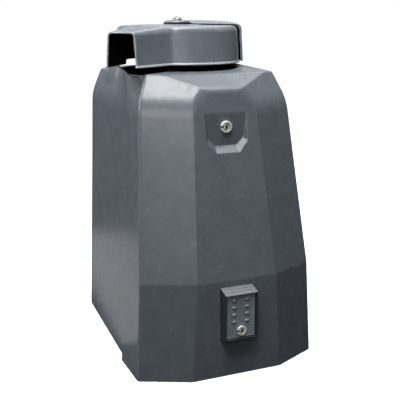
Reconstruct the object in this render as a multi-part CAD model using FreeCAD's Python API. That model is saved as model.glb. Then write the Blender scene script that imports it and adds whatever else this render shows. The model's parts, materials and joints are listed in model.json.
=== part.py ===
import FreeCAD, Part
import math
import os

os.makedirs("parts", exist_ok=True)

# Swing gate operator. Millimetres. The output shaft stands on the Z axis,
# the floor under the base plate is z = 0 and the front faces -Y.

# ---- driving dimensions ------------------------------------------------
WALL = 4.5                 # cover wall
Z0 = 2.0                   # cover's lower edge above the floor
Z1, Z2 = 186.0, 500.0      # crease and shoulder heights of the cover
F0 = (90.6, -297.8)        # front face corner at the floor
S0 = (183.5, -254.6)       # side corner at the floor
R0 = (165.0, 140.0)        # rear corner at the floor
F1 = (79.8, -293.5)
S1 = (174.4, -249.4)
F2 = (62.4, -234.6)
S2 = (150.7, -193.3)
R2 = (145.5, 140.0)
T1 = (33.2, -229.4, 527.8)  # top corners of the front face
A1 = (119.0, -176.6, 553.0)  # front corners of the flat top
R3 = (121.8, 132.0, 553.0)  # rear corners of the flat top
HOLE_R, HOLE_RX = 129.0, 120.0  # oval opening in the flat top, along Y and along X

RECESS_Y = -237.1          # flat floor of the lock recess
LOCK_Z = 461.0

BOX_W, BOX_Z0, BOX_Z1, BOX_Y = 32.5, 75.0, 173.5, -318.0   # reset box
DOOR_HINGE = (-310.5, 162.5)
DOOR_LOCK_Z = 94.3

HOOD_Z0, HOOD_Z1 = 564.8, 639.4
HOOD_R = 127.0
ARM_AZ = 43.0              # arm channel, degrees from -X towards -Y
ARM_END = 228.0            # open end of the channel from the shaft axis
ARM_Z = 600.0
ARM_R = 17.0               # arm socket bore

SHAFT_R = 19.0
M, TEETH = 4.0, 36         # worm wheel module and teeth
WORM_RP = 22.0             # worm pitch radius
GEAR_Z = 395.0
WORM_Y = -(M * TEETH / 2 + WORM_RP)
MOTOR_Y, MOTOR_Z = -150.0, 170.0
BELT_X = 124.0

V = FreeCAD.Vector
nodes = {}


def add(name, shape):
    nodes[name] = shape


def box(x0, x1, y0, y1, z0, z1):
    return Part.makeBox(x1 - x0, y1 - y0, z1 - z0, V(x0, y0, z0))


def cz(r, z0, z1, x=0.0, y=0.0):
    return Part.makeCylinder(r, z1 - z0, V(x, y, z0), V(0, 0, 1))


def cx(r, x0, x1, y, z):
    return Part.makeCylinder(r, x1 - x0, V(x0, y, z), V(1, 0, 0))


def cy(r, y0, y1, x, z):
    return Part.makeCylinder(r, y1 - y0, V(x, y0, z), V(0, 1, 0))


def fuse(*parts):
    s = parts[0]
    for p in parts[1:]:
        s = s.fuse(p)
    return s.removeSplitter()


def hexz(r, z0, z1, x, y):
    pts = [V(x + r * math.cos(math.radians(60 * k)), y + r * math.sin(math.radians(60 * k)), z0) for k in range(7)]
    return Part.Face(Part.makePolygon(pts)).extrude(V(0, 0, z1 - z0))


def hexy(r, y0, y1, x, z):
    pts = [V(x + r * math.cos(math.radians(60 * k)), y0, z + r * math.sin(math.radians(60 * k))) for k in range(7)]
    return Part.Face(Part.makePolygon(pts)).extrude(V(0, y1 - y0, 0))


def prism(pts, vec):
    return Part.Face(Part.makePolygon([V(*p) for p in pts] + [V(*pts[0])])).extrude(V(*vec))


def revolve(profile, angle=360.0, start=0.0):
    w = Part.makePolygon([V(r, 0, z) for r, z in profile] + [V(profile[0][0], 0, profile[0][1])])
    s = Part.Face(w).revolve(V(0, 0, 0), V(0, 0, 1), angle)
    s.rotate(V(0, 0, 0), V(0, 0, 1), start)
    return s


def revolve_x(profile, y, z):
    """Solid of revolution about the line along X at (y, z)."""
    w = Part.makePolygon([V(a, r, 0) for a, r in profile] + [V(profile[0][0], profile[0][1], 0)])
    s = Part.Face(w).revolve(V(0, 0, 0), V(1, 0, 0), 360)
    s.translate(V(0, y, z))
    return s


def solid_from(points, faces):
    """Closed solid from triangles; points are 3-tuples, faces index lists."""
    tris = []
    for f in faces:
        for k in range(1, len(f) - 1):
            a, b, c = (V(*points[i]) for i in (f[0], f[k], f[k + 1]))
            tris.append(Part.Face(Part.makePolygon([a, b, c, a])))
    s = Part.Solid(Part.Shell(tris))
    if s.Volume < 0:
        s.reverse()
    return s


def at_arm(shape):
    """Turn a shape built along -X into the arm channel's direction."""
    shape.rotate(V(0, 0, 0), V(0, 0, 1), ARM_AZ)
    return shape


# ---- cover ---------------------------------------------------------------
right = [(*F0, Z0), (*S0, Z0), (*R0, Z0), (*F1, Z1), (*S1, Z1), (*F2, Z2), (*S2, Z2), (*R2, Z2), T1, A1, R3]
NR = len(right)
pts = list(right) + [(-x, y, z) for x, y, z in right]
rF0, rS0, rR0, rF1, rS1, rF2, rS2, rR2, rT1, rA1, rR3 = range(NR)
L = NR
half = [
    [rF0, rS0, rS1, rF1], [rF1, rS1, rS2, rF2], [rS0, rR0, rS1], [rS1, rR0, rR2], [rS1, rR2, rS2],
    [rF2, rS2, rA1], [rF2, rA1, rT1], [rS2, rR2, rA1], [rA1, rR2, rR3],
]
faces = [list(f) for f in half] + [[i + L for i in reversed(f)] for f in half]
faces += [[rF0 + L, rF0, rF1, rF1 + L], [rF1 + L, rF1, rF2, rF2 + L], [rF2 + L, rF2, rT1, rT1 + L],
          [rT1 + L, rT1, rA1, rA1 + L], [rA1 + L, rA1, rR3, rR3 + L],
          [rR3 + L, rR3, rR2, rR2 + L], [rR2 + L, rR2, rR0, rR0 + L],
          [rF0, rF0 + L, rR0 + L, rR0], [rF0, rR0, rS0], [rF0 + L, rS0 + L, rR0 + L]]


def normal(f, p):
    a, b, c = (V(*p[i]) for i in f[:3])
    n = (b - a).cross(c - a)
    return n.normalize()


def offset_points(p, fs, t):
    """Move each corner inwards so its faces move by t; the floor face stays."""
    out = []
    for i, q in enumerate(p):
        rows = []
        for f in fs:
            if i in f:
                n = normal(f, p)
                rows.append((n, 0.0 if n.z < -0.99 else -t))
        a = [[sum(r[0][m] * r[0][k] for r in rows) + (1e-6 if m == k else 0) for k in range(3)] for m in range(3)]
        b = [sum(r[0][m] * r[1] for r in rows) for m in range(3)]
        mt = FreeCAD.Matrix(a[0][0], a[0][1], a[0][2], 0, a[1][0], a[1][1], a[1][2], 0, a[2][0], a[2][1], a[2][2], 0, 0, 0, 0, 1)
        d = mt.inverse().multVec(V(*b))
        out.append((q[0] + d.x, q[1] + d.y, q[2] + d.z))
    return out


outer = solid_from(pts, faces)
inner_pts = offset_points(pts, faces, WALL)
inner_pts = [(x, y, z - 15.0 if z < Z0 + 1 else z) for x, y, z in inner_pts]
inner_cut = solid_from(inner_pts, faces)


def recess(grow):
    """Pocket behind the sloping front with an upright floor."""
    g = grow
    y = RECESS_Y + g
    floor_ = [(-38 - g, 487.0 + g), (38 + g, 487.0 + g), (33.6 + g, 438 - g), (20 + g, 427 - g), (-20 - g, 427 - g), (-33.6 - g, 438 - g)]
    mouth = [(-46 - g, 487.0 + g), (46 + g, 487.0 + g), (43 + g, 433 - g), (25 + g, 412 - g), (-25 - g, 412 - g), (-43 - g, 433 - g)]
    w0 = Part.makePolygon([V(x, y, z) for x, z in floor_] + [V(floor_[0][0], y, floor_[0][1])])
    w1 = Part.makePolygon([V(x, -254.0, z) for x, z in mouth] + [V(mouth[0][0], -254.0, mouth[0][1])])
    return Part.makeLoft([w0, w1], True, True)


cover = outer.cut(recess(0.0)).cut(inner_cut.cut(recess(WALL)))
opening = Part.Face(Part.Wire([Part.Ellipse(V(0, 0, 480), HOLE_R, HOLE_RX).toShape()])).extrude(V(0, 0, 120))
opening.rotate(V(0, 0, 0), V(0, 0, 1), 90)
cover = cover.cut(opening)
cover = cover.cut(cy(9.7, RECESS_Y - 6, RECESS_Y + 12, 0, LOCK_Z))
cover = cover.cut(box(-25, 25, -310, -280, 84, 160))
# raised stretch of the lower edge behind the front corner of each side
for s in (-1, 1):
    cover = cover.cut(box(min(s * 150, s * 200), max(s * 150, s * 200), -155, 150, -5, 14))
cover = cover.cut(box(-110, 110, 125, 150, -5, 40))
# holes for the reset box screws
for sx in (-1, 1):
    for z in (79.0, 168.0):
        cover = cover.cut(cy(2.2, -305, -280, sx * 28.6, z))
add("cover_shell", max(cover.Solids, key=lambda s: s.Volume))

# cover lock
body = cy(11.0, RECESS_Y - 5.5, RECESS_Y, 0, LOCK_Z).fuse(cy(9.5, RECESS_Y, RECESS_Y + 26, 0, LOCK_Z))
add("cover_lock_body", body.cut(cy(6.9, RECESS_Y - 10, RECESS_Y + 30, 0, LOCK_Z)).removeSplitter())
nut = hexy(14.0, RECESS_Y + WALL + 0.2, RECESS_Y + WALL + 5.2, 0, LOCK_Z)
add("cover_lock_nut", nut.cut(cy(9.6, RECESS_Y, RECESS_Y + 20, 0, LOCK_Z)))
plug = cy(6.5, RECESS_Y - 5.0, RECESS_Y + 28.5, 0, LOCK_Z)
add("cover_lock_plug", plug.cut(box(-1.1, 1.1, RECESS_Y - 8, RECESS_Y + 16, LOCK_Z - 4.5, LOCK_Z + 4.5)))
cam = box(-8, 8, RECESS_Y + 28.5, RECESS_Y + 31.5, LOCK_Z - 36, LOCK_Z).fuse(cy(8.0, RECESS_Y + 28.5, RECESS_Y + 31.5, 0, LOCK_Z))
add("cover_lock_cam", fuse(cam, cy(5.0, RECESS_Y + 31.5, RECESS_Y + 34.5, 0, LOCK_Z)))

# reset box on the lower front
frame = prism([(-BOX_W, BOX_Y, BOX_Z0 + 3.5), (-BOX_W, BOX_Y, BOX_Z1 - 6.3), (-BOX_W, -290, BOX_Z1 + 2.1), (-BOX_W, -290, BOX_Z0 - 5)], (2 * BOX_W, 0, 0))
frame = frame.cut(box(-30.2, 30.2, BOX_Y - 2, -309.0, 80.0, 165.5))
frame = frame.cut(box(-25.0, 25.0, -312, -280, 84.0, 165.5))
frame = frame.cut(box(-14.5, 14.5, -307, -299.5, 77.0, 85))
frame = frame.cut(cx(1.6, -31.5, 31.5, *DOOR_HINGE)).cut(cx(3.1, -30.2, 30.2, *DOOR_HINGE))
frame = frame.cut(outer)
for sx in (-1, 1):
    for z in (79.0, 168.0):
        frame = frame.cut(cy(2.0, -306, -285, sx * 28.6, z))
add("reset_frame", max(frame.Solids, key=lambda s: s.Volume))
scr = []
for sx in (-1, 1):
    for z in (79.0, 168.0):
        scr.append(fuse(cy(1.9, -305.5, -289.2, sx * 28.6, z), cy(3.6, -289.2, -286.6, sx * 28.6, z)))
add("reset_frame_screws", Part.Compound(scr))
add("door_hinge_pin", cx(1.5, -31.0, 31.0, *DOOR_HINGE))
door = fuse(box(-29.0, 29.0, -312.0, -309.2, 81.0, 160.8),
            box(-29.0, 29.0, -312.0, -309.2, 160.8, 162.0), cx(2.6, -29.0, 29.0, *DOOR_HINGE))
for sx in (-1, 1):
    for k in range(4):
        z = 155.3 - 13.7 * k
        x = sx * 13.2
        lou = prism([(x - 5.6, -312.0, z + 2.4), (x - 5.6, -314.0, z + 0.4), (x - 5.6, -314.0, z - 1.0), (x - 5.6, -312.0, z - 1.0)], (11.2, 0, 0))
        door = door.fuse(lou)
        door = door.cut(box(x - 4.8, x + 4.8, -320, -300, z - 3.4, z - 1.0))
door = door.cut(cx(1.8, -40, 40, *DOOR_HINGE)).cut(cy(8.2, -320, -300, 0, DOOR_LOCK_Z))
add("reset_door", door.removeSplitter())
dl = cy(9.5, -316.0, -312.0, 0, DOOR_LOCK_Z).fuse(cy(8.1, -312.0, -304.5, 0, DOOR_LOCK_Z))
add("door_lock_body", dl.cut(cy(5.6, -320, -300, 0, DOOR_LOCK_Z)).removeSplitter())
dp = cy(5.2, -315.6, -304.2, 0, DOOR_LOCK_Z)
add("door_lock_plug", dp.cut(box(-0.9, 0.9, -320, -308, DOOR_LOCK_Z - 3.4, DOOR_LOCK_Z + 3.4)))
dc = box(0, 16.0, -304.2, -301.6, DOOR_LOCK_Z - 5, DOOR_LOCK_Z + 5).fuse(cy(5.0, -304.2, -301.6, 0, DOOR_LOCK_Z))
add("door_lock_cam", dc.removeSplitter())

# ---- base and frame --------------------------------------------------------
base = prism([(-150, 110, 0), (150, 110, 0), (150, -225, 0), (120, -270, 0), (-120, -270, 0), (-150, -225, 0)], (0, 0, 10))
for sx in (-1, 1):
    for y in (-200.0, 80.0):
        base = base.cut(cz(7.0, -5, 15, sx * 125.0, y))
base = base.cut(cz(38.0, -5, 15, 0, -215.0))
add("base_plate", base)

for s, n in ((-1, "left"), (1, "right")):
    a, b = sorted((s * 100.0, s * 106.0))
    c, d = sorted((s * 76.0, s * 100.0))
    p = fuse(box(a, b, -70, 100, 10, 338), box(c, d, -70, 100, 10, 16), box(c, d, -70, 100, 332, 338))
    p = p.cut(cx(32.0, a - 5, b + 5, 15, 130)).cut(cx(32.0, a - 5, b + 5, 15, 235))
    add("side_plate_" + n, p)
bolts = []
for s in (-1, 1):
    for y in (-50.0, 85.0):
        bolts.append(hexz(7.5, 16, 21.5, s * 88.0, y))
shelf = box(-106, 106, -125, 100, 338, 346)
add("gearbox_shelf", shelf)

# ---- gearbox ----------------------------------------------------------------
GZ0, GZ1 = 346.0, 446.0
hous = box(-88, 88, -134, 88, GZ0, GZ1)
hous = hous.cut(box(-78, 78, -124, 78, GZ0 + 8, GZ1 + 5))
hous = hous.fuse(cz(39.0, GZ0, GZ0 + 20))
hous = hous.fuse(cx(34.0, -98, -78, WORM_Y, GEAR_Z)).fuse(cx(34.0, 78, 98, WORM_Y, GEAR_Z))
for s in (-1, 1):
    for y in (-50.0, 60.0):
        a, b = sorted((s * 86.0, s * 104.0))
        hous = hous.fuse(box(a, b, y - 14, y + 14, GZ0, GZ0 + 9))
hous = hous.cut(box(-78, 78, -124, 78, GZ0 + 20, GZ1 + 5))
hous = hous.cut(cz(31.0, GZ0 + 4, GZ0 + 30)).cut(cx(26.0, -110, 110, WORM_Y, GEAR_Z))
lid_xy = [(sx * 83.0, y) for sx in (-1, 1) for y in (-128.5, -22.0, 83.0)] + [(0.0, -129.0), (0.0, 83.0)]
for x, y in lid_xy:
    hous = hous.cut(cz(3.0, GZ1 - 18, GZ1 + 5, x, y))
add("gearbox_housing", hous.removeSplitter())
lid = fuse(box(-92, 92, -138, 92, GZ1, GZ1 + 10), cz(40.0, GZ1, GZ1 + 28))
lid = lid.cut(cz(31.0, GZ1 - 5, GZ1 + 18)).cut(cz(28.0, GZ1 - 5, GZ1 + 40))
for x, y in lid_xy:
    lid = lid.cut(cz(3.3, GZ1 - 5, GZ1 + 15, x, y))
add("gearbox_lid", lid)
add("gearbox_lid_screws", Part.Compound([fuse(cz(3.0, GZ1 - 16, GZ1 + 10, x, y), hexz(6.0, GZ1 + 10, GZ1 + 15, x, y)) for x, y in lid_xy]))
for s in (-1, 1):
    for y in (-50.0, 60.0):
        bolts.append(hexz(6.0, GZ0 + 9, GZ0 + 14, s * 96.5, y))
add("shaft_bearings", Part.Compound([cz(31.0, a, b).cut(cz(SHAFT_R + 0.4, a - 5, b + 5)) for a, b in ((GZ0 + 4, GZ0 + 19), (GZ1 + 1, GZ1 + 18))]))
add("shaft_seal", cz(28.0, GZ1 + 18, GZ1 + 27).cut(cz(SHAFT_R + 0.4, GZ1 - 5, GZ1 + 40)))
add("worm_bearings", Part.Compound([cx(26.0, a, b, WORM_Y, GEAR_Z).cut(cx(12.4, a - 1, b + 1, WORM_Y, GEAR_Z)) for a, b in ((-98, -84), (84, 98))]))
add("worm_caps", Part.Compound([cx(33.0, -104, -98, WORM_Y, GEAR_Z), cx(33.0, 98, 104, WORM_Y, GEAR_Z).cut(cx(12.5, 90, 110, WORM_Y, GEAR_Z))]))

# ---- output shaft, worm wheel and crank ------------------------------------
shaft = cz(SHAFT_R, GZ0 + 5, 630.0).cut(cz(6.4, 598.0, 640.0))
shaft = shaft.cut(box(13.5, 25, -5, 5, 576, 624))
shaft = shaft.cut(box(13.5, 25, -5, 5, GEAR_Z - 18, GEAR_Z + 18))
add("output_shaft", shaft)
add("shaft_keys", Part.Compound([box(13.5, 22.5, -5, 5, 576, 624), box(13.5, 22.5, -5, 5, GEAR_Z - 17, GEAR_Z + 17)]))

RP = M * TEETH / 2
RB = RP * math.cos(math.radians(20))
RT, RR = RP + M, RP - 1.25 * M


def inv(r):
    a = math.acos(min(1.0, RB / r))
    return math.tan(a) - a


def gear_wire(z, turn):
    """Tooth outline; a gap is centred on -Y before the turn."""
    half_tooth = math.pi / (2 * TEETH) + inv(RP)
    pts_ = []
    for k in range(TEETH):
        c = -math.pi / 2 + 2 * math.pi * (k + 0.5) / TEETH + turn
        prof = []
        for r in (max(RR, RB), RP - 1.5, RP + 1.0, RT):
            prof.append((r, half_tooth - inv(r)))
        left = [(RR, prof[0][1])] + prof if RR < RB else prof
        for r, a in left:
            pts_.append((r, c - a))
        for r, a in reversed(left):
            pts_.append((r, c + a))
    vs = [V(r * math.cos(a), r * math.sin(a), z) for r, a in pts_]
    return Part.makePolygon(vs + [vs[0]])


FACE = 24.0
lead = math.pi * M
twist = (FACE / 2) * (lead / (2 * math.pi * WORM_RP)) / RP
wheel = Part.makeLoft([gear_wire(GEAR_Z - FACE / 2, twist), gear_wire(GEAR_Z + FACE / 2, -twist)], True, True)
wheel = wheel.fuse(cz(34.0, GEAR_Z - 18, GEAR_Z + 18)).cut(cz(SHAFT_R, GEAR_Z - 30, GEAR_Z + 30))
wheel = wheel.cut(box(10, 22.5, -5, 5, GEAR_Z - 30, GEAR_Z + 30))
for k in range(6):
    a = math.radians(60 * k)
    wheel = wheel.cut(cz(9.0, GEAR_Z - 30, GEAR_Z + 30, 49 * math.cos(a), 49 * math.sin(a)))
add("worm_wheel", wheel)

hub = cz(36.0, 574.0, 626.0)
sock = Part.makeCylinder(23.0, 118.0, V(0, 0, ARM_Z), V(-1, 0, 0))
hub = hub.fuse(at_arm(sock)).cut(cz(SHAFT_R, 560, 640)).cut(box(10, 22.5, -5, 5, 560, 640))
hub = hub.cut(at_arm(Part.makeCylinder(ARM_R, 90.0, V(-44, 0, ARM_Z), V(-1, 0, 0))))
hub = hub.cut(at_arm(Part.makeCylinder(5.0, 30.0, V(-66, 0, ARM_Z), V(0, 0, 1)))).cut(at_arm(Part.makeCylinder(5.0, 30.0, V(-98, 0, ARM_Z), V(0, 0, 1))))
add("crank_hub", hub.removeSplitter())
ss = []
for a in (66.0, 98.0):
    s_ = Part.makeCylinder(5.0, 8.0, V(-a, 0, ARM_Z + ARM_R + 0.4), V(0, 0, 1)).fuse(box(-a - 4, -a + 4, -4, 4, ARM_Z + ARM_R + 8.4, ARM_Z + ARM_R + 12.0))
    ss.append(at_arm(s_))
add("socket_screws", Part.Compound(ss))


def limit_cam(z0, z1, start):
    c = cz(33.0, z0, z1).cut(cz(SHAFT_R, z0 - 1, z1 + 1))
    w = revolve([(28.5, z0 - 1), (40, z0 - 1), (40, z1 + 1), (28.5, z1 + 1)], 60.0, start)
    return c.cut(w)


add("limit_cams", Part.Compound([limit_cam(486.0, 492.0, 60.0), limit_cam(498.0, 504.0, 240.0)]))

# limit switches on the lid
lb = fuse(box(-22, 22, 62, 65, GZ1 + 10, 512), box(-22, 22, 65, 84, GZ1 + 10, GZ1 + 13))
lb = lb.cut(cz(6.5, GZ1, GZ1 + 20, 0, 83.0))
add("limit_bracket", lb)
add("limit_switches", Part.Compound([fuse(box(-14, 14, 46, 62, z - 4.5, z + 4.5), box(-12, -9, 38, 46, z - 2, z + 2), cz(2.6, z - 2, z + 2, -10.5, 38.6)) for z in (489.0, 501.0)]))

# ---- hood ---------------------------------------------------------------------
drum_out = revolve([(0, HOOD_Z1), (102, 638.5), (113.5, 635.8), (121, 630.4), (123.8, 622.5), (HOOD_R, HOOD_Z0), (0, HOOD_Z0)])
drum_in = revolve([(0, 635.6), (101, 634.8), (111.4, 632.4), (117.6, 627.6), (120.2, 620.5), (HOOD_R - 3.6, HOOD_Z0 - 1), (0, HOOD_Z0 - 1)])


def spout_wire(s, grow, low):
    f = (s - 125.0) / (ARM_END - 125.0)
    near = 44.0 - 14.0 * f - grow
    far = 57.4 - 22.9 * f - grow
    zt = 637.0 - 8.3 * f - grow
    prof = [(-near, low), (-near + 4.4, zt - 8), (-near + 11, zt), (far - 11, zt), (far - 4.4, zt - 8), (far, low)]
    vs = [V(-s, p, z) for p, z in prof]
    return Part.makePolygon(vs + [vs[0]])


spout_out = at_arm(Part.makeLoft([spout_wire(106.0, 0, HOOD_Z0), spout_wire(ARM_END, 0, HOOD_Z0)], True, True))
spout_in = at_arm(Part.makeLoft([spout_wire(96.0, 3.6, HOOD_Z0 - 1), spout_wire(ARM_END + 5, 3.6, HOOD_Z0 - 1)], True, True))
hood = drum_out.fuse(spout_out).cut(drum_in.fuse(spout_in)).cut(cz(6.6, 600, 660))
add("hood_main", max(hood.Solids, key=lambda s: s.Volume))
sector = revolve([(9, 639.5), (102.3, 639.3), (115, 637.2), (123, 631.6), (126.2, 623), (129.6, 566.5),
                  (135.2, 566.5), (132, 622), (128.6, 632.5), (121, 639.5), (110, 643.5), (27.6, 646.0), (27.6, 640.2), (9, 640.2)], 103.0, -24.0)
add("hood_sector", sector)
add("hood_washer_rubber", cz(26.0, 640.3, 643.3).cut(cz(6.6, 600, 660)))
add("hood_washer_steel", cz(26.0, 643.3, 648.0).cut(cz(6.6, 600, 660)))
dome = Part.makeSphere(9.6, V(0, 0, 646.4)).common(cz(20, 648.0, 670))
add("hood_bolt", fuse(cz(5.9, 602.0, 648.0), cz(9.4, 648.0, 648.6), dome))

# ---- worm -----------------------------------------------------------------------
turns = 8.5
z0w = -4.25 * lead
helix = Part.makeHelix(lead, turns * lead, WORM_RP)
tp = math.tan(math.radians(20))
wp = lead / 2 - 2.4
ri, ro = WORM_RP - 1.25 * M - 0.5, WORM_RP + M
hi, ho = wp / 2 + (WORM_RP - ri) * tp, wp / 2 - M * tp
prof = Part.makePolygon([V(ri, 0, -hi), V(ro, 0, -ho), V(ro, 0, ho), V(ri, 0, hi), V(ri, 0, -hi)])
thread = Part.Wire(helix.Edges).makePipeShell([prof], True, True)
thread.translate(V(0, 0, z0w))
core = Part.makeCylinder(WORM_RP - 1.25 * M, 2 * 62.0, V(0, 0, -62.0), V(0, 0, 1))
worm = core.fuse(thread)
worm = worm.fuse(Part.makeCylinder(12.0, 97.0 + 142.0, V(0, 0, -97.0), V(0, 0, 1)))
worm.rotate(V(0, 0, 0), V(0, 1, 0), 90)
worm.translate(V(0, WORM_Y, GEAR_Z))
add("worm_shaft", max(worm.Solids, key=lambda s: s.Volume))


def pulley(ro_, bore, y, z):
    """V pulley centred on the belt plane."""
    h = 12.0
    g = [(-h, bore), (-h, ro_), (-7.0, ro_), (-4.0, ro_ - 11), (4.0, ro_ - 11), (7.0, ro_), (h, ro_), (h, bore)]
    return revolve_x([(BELT_X + a, r) for a, r in g], y, z)


add("worm_pulley", pulley(55.0, 12.0, WORM_Y, GEAR_Z))
add("motor_pulley", pulley(28.0, 10.0, MOTOR_Y, MOTOR_Z))

# belt: flat-sided loop round both pulleys, tapered to sit in the grooves
c1, c2 = (WORM_Y, GEAR_Z), (MOTOR_Y, MOTOR_Z)
dy, dz = c2[0] - c1[0], c2[1] - c1[1]
dist = math.hypot(dy, dz)
base_a = math.atan2(dz, dy)


def belt_wire(x, r1, r2):
    b = math.acos((r1 - r2) / dist)
    p = {}
    for s in (1, -1):
        a = base_a + s * b
        p[s] = (V(x, c1[0] + r1 * math.cos(a), c1[1] + r1 * math.sin(a)), V(x, c2[0] + r2 * math.cos(a), c2[1] + r2 * math.sin(a)))
    far1 = V(x, c1[0] - r1 * math.cos(base_a), c1[1] - r1 * math.sin(base_a))
    far2 = V(x, c2[0] + r2 * math.cos(base_a), c2[1] + r2 * math.sin(base_a))
    return Part.Wire([Part.Arc(p[1][0], far1, p[-1][0]).toShape(), Part.makeLine(p[-1][0], p[-1][1]),
                      Part.Arc(p[-1][1], far2, p[1][1]).toShape(), Part.makeLine(p[1][1], p[1][0])])


def belt_solid(r_off, w):
    f = Part.Face(belt_wire(BELT_X - w / 2, 55.0 + r_off, 28.0 + r_off))
    return f.extrude(V(w, 0, 0))


belt = belt_solid(-1.0, 10.4).cut(belt_solid(-5.0, 30.0))
belt = belt.fuse(belt_solid(-5.0, 7.6).cut(belt_solid(-9.2, 30.0)))
add("v_belt", belt)

# ---- motor ------------------------------------------------------------------------
my, mz = MOTOR_Y, MOTOR_Z
can = cx(65.0, -85, 55, my, mz).cut(cx(60.0, -95, 65, my, mz))
for k in range(12):
    a = math.radians(30 * k + 15)
    rib = box(-70, 40, 64.0, 68.5, -1.8, 1.8)
    rib.rotate(V(0, 0, 0), V(1, 0, 0), math.degrees(a))
    rib.translate(V(0, my, mz))
    can = can.fuse(rib)
can = can.cut(cx(60.0, -95, 65, my, mz))
add("motor_can", can.removeSplitter())


def bell(x0, x1, face):
    b = cx(65.0, x0, x1, my, mz)
    for k in range(8):
        a = math.radians(45 * k)
        b = b.cut(cx(8.0, x0 - 5, x1 + 5, my + 42 * math.cos(a), mz + 42 * math.sin(a)))
    b = b.fuse(cx(20.0, x0 - (6 if face < 0 else 0), x1 + (6 if face > 0 else 0), my, mz))
    return b.cut(cx(10.4, x0 - 20, x1 + 20, my, mz)).removeSplitter()


add("motor_bells", Part.Compound([bell(-100, -85, -1), bell(55, 70, 1)]))
add("motor_stator", cx(60.0, -60, 30, my, mz).cut(cx(38.0, -70, 40, my, mz)))
add("motor_rotor", cx(37.3, -60, 30, my, mz).cut(cx(10.0, -70, 40, my, mz)))
add("motor_shaft", cx(10.0, -104, 140, my, mz))
cradle = fuse(box(-78, 48, my - 62, my + 62, 10, 18), box(-74, -64, my - 52, my + 52, 18, mz - 20), box(34, 44, my - 52, my + 52, 18, mz - 20))
cradle = cradle.cut(cx(69.0, -200, 200, my, mz))
cradle = cradle.fuse(box(-74, -64, my - 16, my + 16, 95, mz - 60)).fuse(box(34, 44, my - 16, my + 16, 95, mz - 60))
cradle = cradle.cut(can).cut(cx(64.0, -200, 200, my, mz)).cut(cz(38.0, -5, 40, 0, -215.0))
add("motor_cradle", max(cradle.Solids, key=lambda s: s.Volume))
for x in (-52.0, 22.0):
    for y in (my - 24.0, my + 52.0):
        bolts.append(hexz(6.5, 18, 23, x, y))
add("frame_bolts", Part.Compound(bolts))

# ---- controls -----------------------------------------------------------------------
plate = fuse(box(-100, 100, -168, -165, 262, 436), box(-100, 100, -165, -150, 433, 436))
add("control_plate", plate)
add("control_standoffs", Part.Compound([cy(6.0, -165, -134, x, z) for x in (-75.0, 75.0) for z in (360.0, 425.0)] +
                                       [cy(3.0, -178, -168, x, z) for x in (-87.0, 35.0) for z in (277.0, 421.0)]))
board = box(-92, 40, -179.6, -178, 272, 426)
add("circuit_board", board)
rel = [box(-84 + 22 * k, -66 + 22 * k, -198, -179.6, 384, 412) for k in range(4)]
term = box(-86, 34, -192, -179.6, 276, 290)
for k in range(12):
    term = term.cut(box(-84 + 9.9 * k, -77.5 + 9.9 * k, -195, -184, 279, 287))
add("board_parts", Part.Compound(rel + [term, box(-70, -40, -182, -179.6, 330, 352), box(-20, 2, -182.5, -179.6, 320, 350), box(8, 30, -186, -179.6, 310, 322)]))
tr = fuse(box(50, 94, -200, -168, 350, 420), box(46, 98, -172, -168, 342, 428), box(58, 86, -206, -162, 360, 410).cut(box(50, 94, -168, -160, 300, 500)))
add("transformer", tr)
add("start_capacitor", cz(22.0, 10, 110, -40, 55).fuse(cz(16.0, 110, 114, -40, 55)).removeSplitter())
keeper = fuse(box(18, 44, -213, -128, 471, 475), box(18, 44, -132, -128, GZ1 + 10, 475), box(18, 44, -132, -104, GZ1 + 10, GZ1 + 14))
add("lock_keeper", keeper)

# switches behind the reset box
panel = fuse(box(-55, 55, -282, -279, 10, 165), box(-55, 55, -279, -252, 10, 13))
panel = panel.cut(cy(9.6, -290, -270, -13, 140)).cut(box(4.0, 22.0, -290, -270, 126, 154))
add("switch_panel", panel)
add("reset_button", fuse(cy(9.0, -288.5, -276.0, -13, 140), cy(11.6, -276.0, -273.6, -13, 140)))
rf = box(2.0, 24.0, -284.5, -282.0, 124, 156).cut(box(5.0, 21.0, -300, -270, 127, 153))
add("switch_bezels", Part.Compound([cy(13.0, -285.0, -282.0, -13, 140).cut(cy(9.5, -300, -270, -13, 140)), rf]))
rk = cx(13.2, 5.6, 20.4, -274.6, 140).common(box(5.6, 20.4, -287.6, -275, 128.6, 151.4))
rk = rk.cut(cx(40.0, 0, 30, -324.9, 140))
rk.rotate(V(13, -274.6, 140), V(1, 0, 0), 8)
add("power_rocker", rk.removeSplitter())
bz = cy(13.5, -287.0, -282.0, 0, 107).cut(cy(2.0, -290, -284, 0, 107))
for k in range(6):
    a = math.radians(60 * k)
    bz = bz.cut(cy(1.6, -290, -284, 7 * math.cos(a), 107 + 7 * math.sin(a)))
add("alarm_sounder", bz)

for name, shape in nodes.items():
    shape.exportStep("parts/%s.step" % name)
    bb = shape.BoundBox
    print("%-22s solids %2d vol %10.0f  x %7.1f %7.1f  y %7.1f %7.1f  z %6.1f %6.1f %s" % (
        name, len(shape.Solids), shape.Volume, bb.XMin, bb.XMax, bb.YMin, bb.YMax, bb.ZMin, bb.ZMax, "" if shape.isValid() else "INVALID"))
print(len(nodes), "nodes")
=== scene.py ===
import json
import math

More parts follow.
